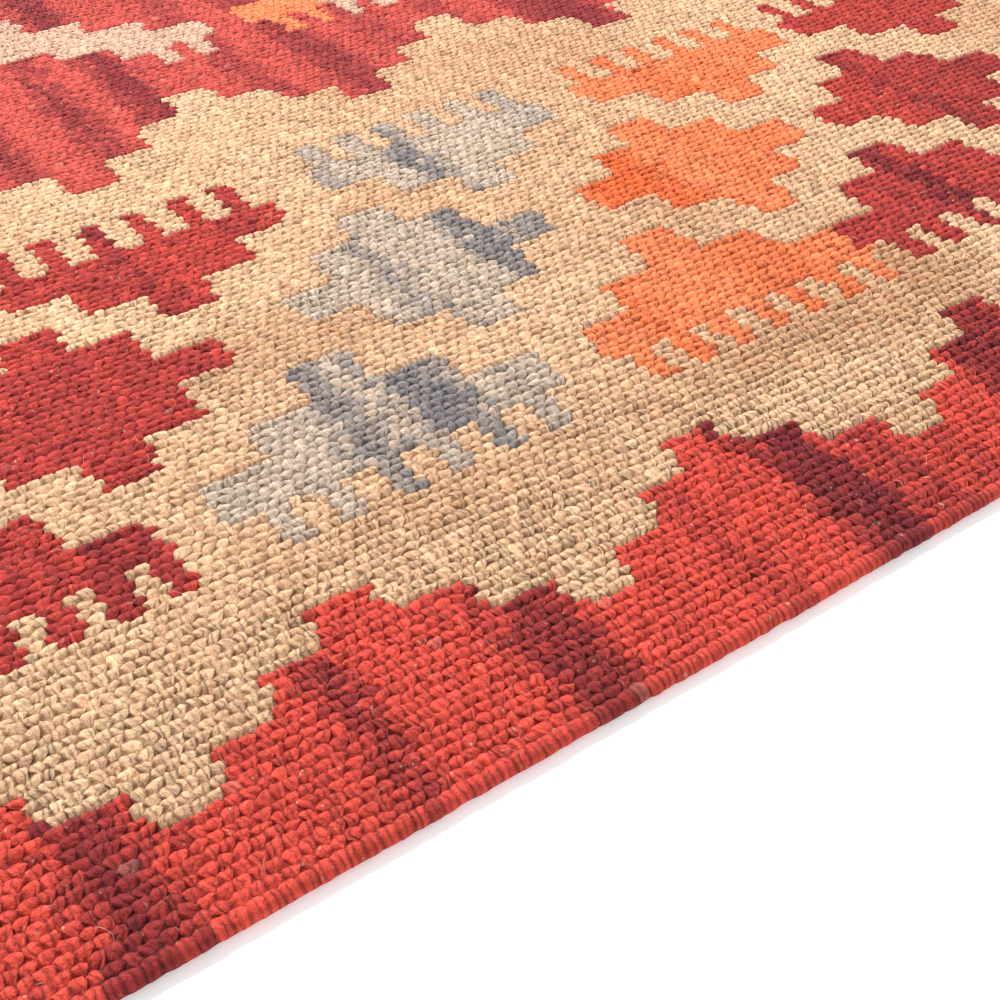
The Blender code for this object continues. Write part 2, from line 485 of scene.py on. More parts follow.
class FlatCloth:
    """The cloth before its floats are raised: points with their place in the weave, and faces."""

    QUARTERS = 4  # columns to a float
    THIRDS = 3  # rows of faces to a warp
    RINGS = 5  # facets round the half-round edge
    END_TURN = 1.5  # floats that the turned-down ends take
    UNDERSIDE_COLUMNS = 10
    UNDERSIDE_ROWS = 12
    SUNK = 0.6  # of the relief, so that the floats' backs come to the cloth's own height

    def __init__(self, weave):
        self.weave = weave
        radius = weave.thickness / 2
        inner = np.arange(1, weave.warps - 1 + 1e-9, 1 / self.THIRDS)
        last = weave.warps
        self.v_rows = np.concatenate([[0.5, 0.75], inner, [last - 0.75, last - 0.5]])
        self.u_columns = np.arange(0, weave.floats + 1e-9, 1 / self.QUARTERS)
        self.grid = (len(self.v_rows), len(self.u_columns))
        v, u = np.meshgrid(self.v_rows, self.u_columns, indexing="ij")
        x = CAD_BOX[0].x + radius + float_pitch(weave) * u
        y = CAD_BOX[0].y + radius + warp_pitch(weave) * (v - 0.5)
        x, y = hand_drawn(x, y)
        edge = np.minimum(v, last - v)
        lift = np.clip(0.3 + 0.7 * (edge - 0.5) / 0.9, 0, 1)
        sunk = self.SUNK * weave.relief * lift
        uneven = 0.0003 * ripple(x + 0.4 * y, 0.19, 0.4) * ripple(y, 0.17, 1.9)
        from_rim = np.minimum.reduce([v - 0.5, last - 0.5 - v, u, weave.floats - u])
        z = weave.thickness - sunk + uneven * np.minimum(1, from_rim / 5)
        self.points = [np.stack([x, y, z], -1).reshape(-1, 3)]
        self.u = [u.reshape(-1)]
        self.v = [v.reshape(-1)]
        self.lift = [lift.reshape(-1)]
        self.quads = []
        self.polygons = []
        self.add_top()
        self.add_rim(radius, sunk.reshape(-1))
        self.add_underside()

    def index(self, j, c):
        return j * self.grid[1] + c

    def add_top(self):
        rows, columns = self.grid
        j, c = np.meshgrid(np.arange(rows - 1), np.arange(columns - 1), indexing="ij")
        j, c = j.reshape(-1), c.reshape(-1)
        near, far = self.index(j, c), self.index(j + 1, c)
        self.quads.append(np.stack([near, near + 1, far + 1, far], 1))

    def outline(self):
        """The grid's outermost stations, once round, anticlockwise from above."""
        rows, columns = self.grid
        front = [(0, c) for c in range(columns - 1)]
        far_end = [(j, columns - 1) for j in range(rows - 1)]
        back = [(rows - 1, c) for c in range(columns - 1, 0, -1)]
        near_end = [(j, 0) for j in range(rows - 1, 0, -1)]
        return front + far_end + back + near_end

    def add_rim(self, radius, sunk):
        """Rings of points that turn the edge over to the underside."""
        stations = self.outline()
        top = np.array([self.index(j, c) for j, c in stations])
        line = self.points[0][top][:, :2]
        away = outward(line)
        sunk = sunk[top][:, None]
        count = len(stations)
        rings = [top]
        start = self.grid[0] * self.grid[1]
        for ring in range(1, self.RINGS + 1):
            share = ring / self.RINGS
            turn = math.pi * share
            reach = radius - sunk * (1 - share)
            plan = line + away * reach * math.sin(turn)
            height = radius + reach * math.cos(turn)
            self.points.append(np.hstack([plan, height]))
            self.u.append(self.u[0][top] + away[:, 0] * self.END_TURN * share)
            self.v.append(self.v[0][top] + away[:, 1] * 0.5 * share)
            self.lift.append(self.lift[0][top] * min(1.0, 2.2 * (1 - share)))
            rings.append(start + np.arange(count))
            start += count
        for upper, lower in zip(rings, rings[1:]):
            corners = [upper, lower, np.roll(lower, -1), np.roll(upper, -1)]
            self.quads.append(np.stack(corners, 1))
        self.under_rim = dict(zip(stations, rings[-1]))
        self.size = start

    def add_underside(self):
        """Coarse faces beneath, a half run by a level each, down to the floor."""
        rows, columns = self.grid
        columns_at = list(range(0, columns - 1, self.UNDERSIDE_COLUMNS)) + [columns - 1]
        rows_at = [0] + list(range(2, rows - 3, self.UNDERSIDE_ROWS)) + [rows - 1]
        inner = {}
        plan, u, v = [], [], []
        for j in rows_at[1:-1]:
            for c in columns_at[1:-1]:
                inner[j, c] = self.size + len(plan)
                x, y, _ = self.points[0][self.index(j, c)]
                plan.append((x, y, 0.0))
                u.append(self.u_columns[c])
                v.append(self.v_rows[j])
        self.points.append(np.array(plan))
        self.u.append(np.array(u))
        self.v.append(np.array(v))
        self.lift.append(np.zeros(len(plan)))
        self.size += len(plan)

        def at(j, c):
            return self.under_rim[j, c] if (j, c) in self.under_rim else inner[j, c]

        for j0, j1 in zip(rows_at, rows_at[1:]):
            for c0, c1 in zip(columns_at, columns_at[1:]):
                front = range(c0, c1) if j0 == 0 else [c0]
                far = range(j0, j1) if c1 == columns - 1 else [j0]
                back = range(c1, c0, -1) if j1 == rows - 1 else [c1]
                near = range(j1, j0, -1) if c0 == 0 else [j1]
                ring = [at(j0, c) for c in front] + [at(j, c1) for j in far]
                ring += [at(j1, c) for c in back] + [at(j, c0) for j in near]
                self.polygons.append(ring[::-1])

    def attributes(self, yarns, patches, seeds):
        """Puts the yarns on the faces, and the slits between dyes on the points."""
        self.points = np.vstack(self.points)
        self.u, self.v, self.lift = (np.concatenate(x) for x in (self.u, self.v, self.lift))
        quads = np.vstack(self.quads)
        sizes = np.array([len(ring) for ring in self.polygons])
        self.corners = np.concatenate([quads.reshape(-1), np.concatenate(self.polygons)])
        self.sizes = np.concatenate([np.full(len(quads), 4), sizes])
        starts = np.concatenate([[0], np.cumsum(self.sizes)[:-1]])
        middle_u = np.add.reduceat(self.u[self.corners], starts) / self.sizes
        middle_v = np.add.reduceat(self.v[self.corners], starts) / self.sizes
        row = np.clip(np.floor(middle_v), 0, self.weave.warps - 1).astype(int)
        k = float_at(self.weave, row, middle_u)
        self.dye = yarns[row, k]
        self.seed = seeds[row, k]
        columns = self.weave.floats // BANDS + 1
        self.band = np.clip(middle_u // columns, 0, BANDS - 1).astype(int)

        below = np.clip(np.ceil(self.v - 0.001) - 1, 0, self.weave.warps - 1).astype(int)
        above = np.clip(np.floor(self.v + 0.001), 0, self.weave.warps - 1).astype(int)
        patch_below = patches[below, float_at(self.weave, below, self.u)]
        patch_above = patches[above, float_at(self.weave, above, self.u)]
        self.slit = (patch_below != patch_above).astype(float)
        next_above = np.clip(above + 1, 0, self.weave.warps - 1)
        next_below = np.clip(above - 1, 0, self.weave.warps - 1)
        own = patches[above, float_at(self.weave, above, self.u)]
        turned = patches[next_above, float_at(self.weave, next_above, self.u)] != own
        turned |= patches[next_below, float_at(self.weave, next_below, self.u)] != own
        turned |= (self.v < 1) | (self.v > self.weave.warps - 1)
        self.turn = turned.astype(float)
        x, y = self.points[:, 0], self.points[:, 1]
        patchy = 0.32 + 0.38 * ripple(x, 0.083, 1.0) * ripple(y, 0.071, 0.5)
        from_edge = np.minimum(self.v, self.weave.warps - self.v)
        patchy += 0.7 * np.clip((32 - from_edge) / 14, 0, 1)
        self.parted = np.clip(np.maximum(patchy, 0.75 * self.turn), 0, 1)


def mesh_from(name, points, corners, sizes):
    """A mesh from its points and the corners of its faces, in order."""
    mesh = bpy.data.meshes.new(name)
    mesh.vertices.add(len(points))
    mesh.vertices.foreach_set("co", np.asarray(points, np.float32).reshape(-1))
    mesh.loops.add(len(corners))
    mesh.loops.foreach_set("vertex_index", np.asarray(corners, np.int32))
    mesh.polygons.add(len(sizes))
    starts = np.concatenate([[0], np.cumsum(sizes)[:-1]])
    mesh.polygons.foreach_set("loop_start", starts.astype(np.int32))
    mesh.update(calc_edges=True)
    return mesh


def put(mesh, name, kind, domain, values):
    """Stores an attribute on a mesh."""
    key = {"FLOAT": "value", "INT": "value", "FLOAT_COLOR": "color"}[kind]
    attribute = mesh.attributes.new(name, kind, domain)
    attribute.data.foreach_set(key, np.ascontiguousarray(values).reshape(-1))


def take(mesh, name, width):
    """Reads an attribute back from a mesh."""
    attribute = mesh.attributes[name]
    key = "color" if width == 4 else "value"
    values = np.zeros(len(attribute.data) * width, np.float32)
    attribute.data.foreach_get(key, values)
    return values.reshape(-1, width) if width > 1 else values


def with_alpha(colours):
    return np.hstack([colours, np.ones((len(colours), 1))]).astype(np.float32)


def raise_floats_tree():
    """Geometry nodes that raise each weft float over its warp and tuck its tips between others."""
    tree = bpy.data.node_groups.new("raise_weft_floats", "GeometryNodeTree")
    tree.interface.new_socket("Geometry", in_out="INPUT", socket_type="NodeSocketGeometry")
    tree.interface.new_socket("Geometry", in_out="OUTPUT", socket_type="NodeSocketGeometry")
    for name in (
        "Float pitch", "Warp pitch", "Relief", "Shoulder", "Saddle", "Bulge", "Spread", "Plumpness",
        "Slit", "Wobble", "Crumple", "Lean", "Flank", "Notch",
    ):
        tree.interface.new_socket(name, in_out="INPUT", socket_type="NodeSocketFloat")
    tree.interface.new_socket("Seed", in_out="INPUT", socket_type="NodeSocketInt")
    tree.interface.new_socket("Wool", in_out="INPUT", socket_type="NodeSocketMaterial")
    given = add(tree, "NodeGroupInput").outputs

    u, v, lift, slit, turn, parted = (
        add(tree, "GeometryNodeInputNamedAttribute", {"Name": name}, data_type="FLOAT")
        for name in ("float_place", "warp_place", "lift", "slit", "turn", "parted")
    )
    turn_u = add(tree, "MULTIPLY", (u, 2 * math.pi))
    turn_v = add(tree, "MULTIPLY", (v, math.pi))
    sin_u, cos_u = add(tree, "SINE", (turn_u,)), add(tree, "COSINE", (turn_u,))
    sin_v, cos_v = add(tree, "SINE", (turn_v,)), add(tree, "COSINE", (turn_v,))

    # Heights: a float's back, the shoulders between floats of a row, the saddles between rows
    ridge = add(tree, "ABSOLUTE", (sin_v,))
    valley = add(tree, "SUBTRACT", (1.0, ridge))
    wave = add(tree, "MULTIPLY", (cos_u, sin_v))
    back = add(tree, "POWER", (add(tree, "MULTIPLY_ADD", (wave, 0.5, 0.5)), 0.9))
    # Where a pick's two strands part, each has its own back and a notch lies between them
    off_crown = add(tree, "SUBTRACT", (1.0, add(tree, "MULTIPLY", (wave, wave))))
    flank = add(tree, "MULTIPLY", (off_crown, given["Flank"]))
    crown = add(tree, "POWER", (add(tree, "MAXIMUM", (wave, 0.0)), 2.0))
    notch = add(tree, "MULTIPLY", (crown, given["Notch"]))
    two_backs = add(tree, "MULTIPLY", (parted, add(tree, "SUBTRACT", (flank, notch))))
    back = add(tree, "ADD", (back, two_backs))

    row = add(tree, "FLOOR", (v,))
    half_place = add(tree, "MULTIPLY_ADD", (add(tree, "MODULO", (row, 2.0)), -0.5, 0.5))
    float_number = add(tree, "FLOOR", (add(tree, "ADD", (half_place, u)),))
    yarn_id = add(tree, "ADD", (add(tree, "MULTIPLY", (row, 997.0)), float_number))
    plump = add(
        tree, "FunctionNodeRandomValue",
        {"Min": -1.0, "Max": 1.0, "ID": yarn_id, "Seed": given["Seed"]}, data_type="FLOAT",
    )
    plump = add(tree, "MULTIPLY_ADD", (plump.outputs[1], given["Plumpness"], 1.0))
    shoulder = add(tree, "MULTIPLY_ADD", (turn, 0.28, given["Shoulder"]))
    over_shoulder = add(tree, "SUBTRACT", (1.0, shoulder))
    raised = add(tree, "MULTIPLY", (add(tree, "MULTIPLY", (back, plump)), over_shoulder))
    broad_ridge = add(tree, "POWER", (ridge, 0.9))
    raised = add(tree, "MULTIPLY", (broad_ridge, add(tree, "ADD", (raised, shoulder))))
    saddle = add(tree, "MULTIPLY", (add(tree, "MULTIPLY", (sin_u, sin_u)), valley))
    raised = add(tree, "ADD", (raised, add(tree, "MULTIPLY", (saddle, given["Saddle"]))))
    height = add(tree, "MULTIPLY", (raised, given["Relief"]))
    deep_valley = add(tree, "POWER", (valley, 4.0))
    cut = add(tree, "MULTIPLY", (add(tree, "MULTIPLY", (slit, deep_valley)), given["Slit"]))
    height = add(tree, "MULTIPLY", (add(tree, "SUBTRACT", (height, cut)), lift))

    # Shifts in the plane: tips that reach over the row's edge, backs that spread
    bulge = add(tree, "MULTIPLY", (given["Bulge"], add(tree, "SUBTRACT", (1.0, slit))))
    reach = add(tree, "MULTIPLY", (add(tree, "MULTIPLY", (cos_u, cos_v)), bulge))
    tuck = add(tree, "MULTIPLY", (add(tree, "SINE", (add(tree, "MULTIPLY", (turn_v, 2.0)),)), 0.075))
    backwards = add(tree, "MULTIPLY", (given["Warp pitch"], -1.0))
    across = add(tree, "MULTIPLY", (add(tree, "ADD", (reach, tuck)), backwards))
    along = add(tree, "MULTIPLY", (add(tree, "MULTIPLY", (sin_u, sin_v)), given["Spread"]))
    along = add(tree, "MULTIPLY", (along, given["Float pitch"]))

    normal = add(tree, "GeometryNodeInputNormal")
    sideways = add(
        tree, "ShaderNodeVectorMath", {0: normal, 1: (1.0, 0.0, 0.0)}, operation="CROSS_PRODUCT"
    )
    up = add(tree, "ShaderNodeVectorMath", {0: normal, "Scale": height}, operation="SCALE")
    over = add(
        tree, "ShaderNodeVectorMath", {0: sideways, "Scale": add(tree, "MULTIPLY", (across, lift))},
        operation="SCALE",
    )
    forward = add(tree, "ShaderNodeCombineXYZ", {"X": add(tree, "MULTIPLY", (along, lift))})

    # The hand's own unevenness: rows and picks that stray, and floats that lean
    position = add(tree, "GeometryNodeInputPosition")
    total = add(tree, "ShaderNodeVectorMath", {0: up, 1: over}, operation="ADD")
    total = add(tree, "ShaderNodeVectorMath", {0: total, 1: forward}, operation="ADD")
    for scale, amount, ease in (
        (95.0, "Wobble", (1.4, 0.8, 0.2)), (290.0, "Crumple", (1.05, 0.95, 0.6)),
    ):
        noise = add(tree, "ShaderNodeTexNoise", {"Vector": position, "Scale": scale, "Detail": 1.5})
        centred = add(
            tree, "ShaderNodeVectorMath", {0: noise.outputs["Color"], 1: (0.5, 0.5, 0.5)},
            operation="SUBTRACT",
        )
        flatter = add(
            tree, "ShaderNodeVectorMath", {0: centred, 1: ease}, operation="MULTIPLY"
        )
        stray = add(
            tree, "ShaderNodeVectorMath",
            {0: flatter, "Scale": add(tree, "MULTIPLY", (given[amount], lift))}, operation="SCALE",
        )
        total = add(tree, "ShaderNodeVectorMath", {0: total, 1: stray}, operation="ADD")
    leaning = add(
        tree, "FunctionNodeRandomValue",
        {0: (-1.0, -1.0, 0.0), 1: (1.0, 1.0, 0.0), "ID": yarn_id, "Seed": given["Seed"]},
        data_type="FLOAT_VECTOR",
    )
    raised_back = add(tree, "MULTIPLY", (back, ridge))
    leant = add(tree, "MULTIPLY", (add(tree, "MULTIPLY", (raised_back, given["Lean"])), lift))
    aside = add(
        tree, "ShaderNodeVectorMath", {0: leaning.outputs[0], "Scale": leant}, operation="SCALE"
    )
    total = add(tree, "ShaderNodeVectorMath", {0: total, 1: aside}, operation="ADD")
    moved = add(
        tree, "GeometryNodeSetPosition", {"Geometry": given["Geometry"], "Offset": total}
    )
    real = add(tree, "GeometryNodeRealizeInstances", {"Geometry": moved})
    dyed = add(tree, "GeometryNodeSetMaterial", {"Geometry": real, "Material": given["Wool"]})
    add(tree, "NodeGroupOutput", {"Geometry": dyed})
    return tree


def run_tree(tree, mesh, name, values):
    """The mesh that a geometry node tree makes of another, as a plain mesh."""
    thing = bpy.data.objects.new(name, mesh)
    bpy.context.scene.collection.objects.link(thing)
    modifier = thing.modifiers.new(tree.name, "NODES")
    modifier.node_group = tree
    for item in tree.interface.items_tree:
        if item.in_out == "INPUT" and item.name in values:
            modifier[item.identifier] = values[item.name]
    graph = bpy.context.evaluated_depsgraph_get()
    made = bpy.data.meshes.new_from_object(thing.evaluated_get(graph), depsgraph=graph)
    bpy.data.objects.remove(thing, do_unlink=True)
    made.name = name
    return made


def band_mesh(whole, faces, name):
    """One length of the cloth cut out of the whole, with its cut ends closed and its shading kept."""
    sizes = np.zeros(len(whole.polygons), np.int32)
    whole.polygons.foreach_get("loop_total", sizes)
    all_corners = np.zeros(len(whole.loops), np.int32)
    whole.loops.foreach_get("vertex_index", all_corners)
    normals = np.zeros(len(whole.vertices) * 3, np.float32)
    whole.vertex_normals.foreach_get("vector", normals)
    places = np.zeros(len(whole.vertices) * 3, np.float32)
    whole.vertices.foreach_get("co", places)
    normals, places = normals.reshape(-1, 3), places.reshape(-1, 3)

    own_sizes = sizes[faces]
    kept = np.zeros(len(sizes), bool)
    kept[faces] = True
    old = all_corners[np.repeat(kept, sizes)]
    used, corners = np.unique(old, return_inverse=True)
    loops = open_loops(corners, own_sizes)
    for loop in loops:
        corners = np.concatenate([corners, loop])
        own_sizes = np.concatenate([own_sizes, [len(loop)]])

    mesh = mesh_from(name, places[used], corners, own_sizes)
    extra = len(loops)
    for attribute, width in (("dye", 4), ("yarn_seed", 1)):
        values = take(whole, attribute, width)[faces]
        filler = np.repeat(values[-1:], extra, axis=0)
        kind = "FLOAT_COLOR" if width == 4 else "FLOAT"
        put(mesh, attribute, kind, "FACE", np.concatenate([values, filler]))
    for attribute in ("float_place", "warp_place", "parted"):
        put(mesh, attribute, "FLOAT", "POINT", take(whole, attribute, 1)[used])
    mesh.materials.append(whole.materials[0])
    smooth = np.ones(len(own_sizes), bool)
    smooth[len(own_sizes) - extra :] = False
    mesh.polygons.foreach_set("use_smooth", smooth)
    split = normals[used][corners]
    if extra:
        face_normals = np.zeros(len(mesh.polygons) * 3, np.float32)
        mesh.polygons.foreach_get("normal", face_normals)
        face_normals = face_normals.reshape(-1, 3)
        own_face = np.repeat(np.arange(len(own_sizes)), own_sizes)
        cut = own_face >= len(own_sizes) - extra
        split[cut] = face_normals[own_face[cut]]
    mesh.normals_split_custom_set(split.tolist())
    return mesh


def open_loops(corners, sizes):
    """The rings of points round a mesh's open ends, each in the order that closes it."""
    starts = np.concatenate([[0], np.cumsum(sizes)[:-1]])
    after = np.arange(len(corners)) + 1
    ends = starts + sizes - 1
    after[ends] = starts
    tail, head = corners, corners[after]
    count = corners.max() + 1
    forward = tail.astype(np.int64) * count + head
    backward = head.astype(np.int64) * count + tail
    lonely = ~np.isin(forward, backward)
    following = dict(zip(head[lonely].tolist(), tail[lonely].tolist()))
    loops = []
    while following:
        first, at = following.popitem()
        ring = [first]
        while at != first:
            ring.append(at)
            at = following.pop(at)
        loops.append(np.array(ring))
    return loops


# Materials ----------------------------------------------------------------------------------


def wool_weft():
    """Handspun two-ply wool, dyed in the hank and beaten hard: matt, with a faint sheen.

    Its strands show as streaks 0.4 to 0.9 mm wide along each float, with the ply's slant. Where
    floats meet, painted shade makes the colour darker and richer, for the light lost between them;
    painted shade also darkens the groove between a pick's two strands, and their backs get a slight
    painted highlight. A noise of scale 2600 gives fibre 0.4 mm across, with lighter flecks that
    are painted glints, 900 lumps of about 1 mm, and 330 mottling of 3 mm.
    """
    material = bpy.data.materials.new("handspun_wool_weft")
    material.use_nodes = True
    tree = material.node_tree
    tree.nodes.clear()

    u, v, seed, parted = (
        add(tree, "ShaderNodeAttribute", attribute_name=name).outputs["Fac"]
        for name in ("float_place", "warp_place", "yarn_seed", "parted")
    )
    dye = add(tree, "ShaderNodeAttribute", attribute_name="dye").outputs["Color"]
    place = add(tree, "ShaderNodeTexCoord").outputs["Object"]

    # A float's own places, -0.5 to 0.5 across it and along it
    row = add(tree, "FLOOR", (v,))
    odd = add(tree, "MODULO", (row, 2.0))
    shifted = add(tree, "ADD", (add(tree, "MULTIPLY_ADD", (odd, 0.5, 0.5)), u))
    across = add(tree, "SUBTRACT", (add(tree, "FRACT", (shifted,)), 0.5))
    along = add(tree, "SUBTRACT", (add(tree, "FRACT", (v,)), 0.5))

    # The strands of the yarn, laid over by the twist
    twist = add(tree, "MULTIPLY_ADD", (seed, 0.3, -0.24))
    strand_place = add(tree, "SUBTRACT", (across, add(tree, "MULTIPLY", (along, twist))))
    strand_vector = add(
        tree, "ShaderNodeCombineXYZ",
        {
            "X": add(tree, "MULTIPLY_ADD", (strand_place, 9.5, add(tree, "MULTIPLY", (seed, 53.0)))),
            "Y": add(tree, "MULTIPLY_ADD", (along, 1.3, add(tree, "MULTIPLY", (seed, 31.0)))),
            "Z": add(tree, "MULTIPLY", (row, 3.7)),
        },
    )
    strands = add(
        tree, "ShaderNodeTexNoise",
        {"Vector": strand_vector, "Scale": 1.0, "Detail": 2.5, "Roughness": 0.6},
    )
    strands = add(
        tree, "ShaderNodeMapRange", {"Value": strands, "From Min": 0.3, "From Max": 0.7}
    )

    # The backs of a pick's two strands, and the crevices round each float
    bent = add(tree, "ShaderNodeTexNoise", {"Vector": place, "Scale": 260.0, "Detail": 1.0})
    bent_place = add(tree, "ADD", (strand_place, add(tree, "MULTIPLY_ADD", (bent, 0.5, -0.25))))
    aside = add(tree, "ABSOLUTE", (bent_place,))
    off_back = add(tree, "DIVIDE", (add(tree, "SUBTRACT", (aside, 0.24)), 0.25))
    strand_back = add(tree, "SUBTRACT", (1.0, add(tree, "MULTIPLY", (off_back, off_back))))
    split = add(tree, "MULTIPLY", (parted, add(tree, "MULTIPLY_ADD", (seed, 0.5, 0.6))))
    second_strand = add(tree, "MULTIPLY", (add(tree, "GREATER_THAN", (bent_place, 0.0)), 0.41))
    strand_seed = add(tree, "FRACT", (add(tree, "MULTIPLY_ADD", (seed, 7.3, second_strand)),))
    hollow = add(tree, "SUBTRACT", (1.0, add(tree, "MAXIMUM", (strand_back, 0.0))))
    hollow = add(tree, "POWER", (hollow, 1.1))
    groove = add(tree, "MULTIPLY", (split, hollow))
    side = add(tree, "ABSOLUTE", (add(tree, "MULTIPLY", (across, 2.0)),))
    side = add(tree, "MULTIPLY", (add(tree, "POWER", (side, 2.0)), 0.6))
    tip = add(tree, "POWER", (add(tree, "ABSOLUTE", (add(tree, "MULTIPLY", (along, 2.0)),)), 2.0))
    mottle = add(tree, "ShaderNodeTexNoise", {"Vector": place, "Scale": 330.0, "Detail": 2.0})
    rim = add(tree, "SQRT", (add(tree, "ADD", (side, tip)),))
    rim = add(tree, "ADD", (rim, add(tree, "MULTIPLY_ADD", (mottle, 0.7, -0.35))))
    crevice = add(
        tree, "ShaderNodeMapRange", {"Value": rim, "From Min": 0.52, "From Max": 1.2},
        interpolation_type="SMOOTHSTEP",
    )

    # Fibre along the strands, loose fibre across them, and the lumps of handspun yarn
    fibre_vector = add(
        tree, "ShaderNodeCombineXYZ",
        {
            "X": add(tree, "MULTIPLY_ADD", (strand_place, 14.0, add(tree, "MULTIPLY", (seed, 91.0)))),
            "Y": add(tree, "MULTIPLY_ADD", (along, 1.3, add(tree, "MULTIPLY", (seed, 17.0)))),
            "Z": add(tree, "MULTIPLY", (row, 2.3)),
        },
    )
    drawn = add(tree, "ShaderNodeTexNoise", {"Vector": fibre_vector, "Scale": 1.0, "Detail": 1.5})
    fibre = add(
        tree, "ShaderNodeTexNoise",
        {"Vector": place, "Scale": 2600.0, "Detail": 3.0, "Roughness": 0.7},
    )
    lumps = add(
        tree, "ShaderNodeTexNoise", {"Vector": place, "Scale": 900.0, "Detail": 2.0, "Roughness": 0.6},
    )

    # Colour: the dye with painted shade in the crevices and in the groove between strands, and a painted
    # highlight on the strands' backs
    deeper = add(
        tree, "ShaderNodeVectorMath", {0: dye, 1: (0.35, 0.35, 0.35), 2: (0.22, 0.22, 0.22)},
        operation="MULTIPLY_ADD",
    )
    deeper = add(tree, "ShaderNodeVectorMath", {0: dye, 1: deeper}, operation="MULTIPLY")
    # Painted shade: the crevices round each float take on a darker, richer copy of the dye
    shaded = add(tree, "MULTIPLY", (crevice, 0.8))
    base = add(tree, "ShaderNodeMix", {0: shaded, 6: dye, 7: deeper}, data_type="RGBA")
    light = add(tree, "MULTIPLY_ADD", (strands, 0.24, 0.94))
    # Fibre noise varies the tone fibre by fibre, and its lighter flecks are painted glints
    light = add(tree, "MULTIPLY", (light, add(tree, "MULTIPLY_ADD", (fibre, 1.2, 0.42))))
    light = add(tree, "MULTIPLY", (light, add(tree, "MULTIPLY_ADD", (drawn, 0.8, 0.61))))
    light = add(tree, "MULTIPLY", (light, add(tree, "MULTIPLY_ADD", (strand_seed, 0.3, 0.85))))
    light = add(tree, "MULTIPLY", (light, add(tree, "MULTIPLY_ADD", (lumps, 0.5, 0.77))))
    # Painted shade in the groove between a pick's two strands, and a slight painted highlight on their
    # backs
    light = add(tree, "MULTIPLY", (light, add(tree, "MULTIPLY_ADD", (groove, -0.34, 1.07))))
    lit = add(tree, "ShaderNodeVectorMath", {0: base.outputs[2], "Scale": light}, operation="SCALE")

    # Pale specks of undyed fibre spun into the yarn, and small dark brown specks
    speck_vector = add(
        tree, "ShaderNodeVectorMath", {0: place, 1: (650.0, 380.0, 500.0)}, operation="MULTIPLY"
    )
    for shade, scale, bend, low in (("#D9BFA0", 1.0, 0.0, 0.73), ("#5A3A2C", 0.83, 0.4, 0.755)):
        speck = add(
            tree, "ShaderNodeTexNoise",
            {"Vector": speck_vector, "Scale": scale, "Detail": 1.0, "Distortion": bend},
        )
        shown = add(
            tree, "ShaderNodeMapRange",
            {"Value": speck, "From Min": low, "From Max": low + 0.05, "To Max": 0.5},
        )
        mixed = add(
            tree, "ShaderNodeMix", {0: shown, 6: lit, 7: (*colour(shade), 1.0)}, data_type="RGBA"
        )
        lit = mixed.outputs[2]

    # Relief in millimetres
    relief = add(tree, "MULTIPLY", (strands, 0.18))
    relief = add(tree, "MULTIPLY_ADD", (drawn, 0.26, relief))
    relief = add(tree, "MULTIPLY_ADD", (fibre, 0.32, relief))
    relief = add(tree, "MULTIPLY_ADD", (lumps, 0.55, relief))
    relief = add(tree, "MULTIPLY_ADD", (groove, -0.9, relief))
    relief = add(tree, "MULTIPLY_ADD", (crevice, -0.35, relief))
    bump = add(tree, "ShaderNodeBump", {"Height": relief, "Strength": 1.0, "Distance": 0.001})
    shader = add(
        tree, "ShaderNodeBsdfPrincipled",
        {"Base Color": lit, "Normal": bump, "Roughness": 0.95, "Specular IOR Level": 0.15,
         "Sheen Weight": 0.06, "Sheen Roughness": 0.6},
    )
    add(tree, "ShaderNodeOutputMaterial", {"Surface": shader})
    return material


def stray_wool():
    """Single wool fibres that have worked loose: fine and pale, with a sheen."""
    material = bpy.data.materials.new("loose_wool_fibre")
    material.use_nodes = True
    tree = material.node_tree
    tree.nodes.clear()
    dye = add(tree, "ShaderNodeAttribute", attribute_name="dye").outputs["Color"]
    place = add(tree, "ShaderNodeTexCoord").outputs["Object"]
    patchy = add(tree, "ShaderNodeTexNoise", {"Vector": place, "Scale": 160.0, "Detail": 1.0})
    paleness = add(
        tree, "ShaderNodeMapRange",
        {"Value": patchy, "From Min": 0.35, "From Max": 0.65, "To Min": 0.15, "To Max": 0.75},
    )
    undyed = (*colour("#F2DCC6"), 1.0)
    mixed = add(tree, "ShaderNodeMix", {0: paleness, 6: dye, 7: undyed}, data_type="RGBA")
    shader = add(
        tree, "ShaderNodeBsdfPrincipled",
        {"Base Color": mixed.outputs[2], "Roughness": 0.7, "Sheen Weight": 0.3},
    )
    add(tree, "ShaderNodeOutputMaterial", {"Surface": shader})
    return material


def floor_paint(tint):
    """Matt white studio board that also glows faintly, so that it stays evenly white."""
    material = bpy.data.materials.new("matt_white_board")
    material.use_nodes = True
    tree = material.node_tree
    shader = tree.nodes["Principled BSDF"]
    shader.inputs["Base Color"].default_value = (*tint, 1.0)
    shader.inputs["Roughness"].default_value = 0.9
    shader.inputs["Specular IOR Level"].default_value = 0.1
    shader.inputs["Emission Color"].default_value = (*tint, 1.0)
    shader.inputs["Emission Strength"].default_value = 0.42
    return material


# Stray wool ---------------------------------------------------------------------------------


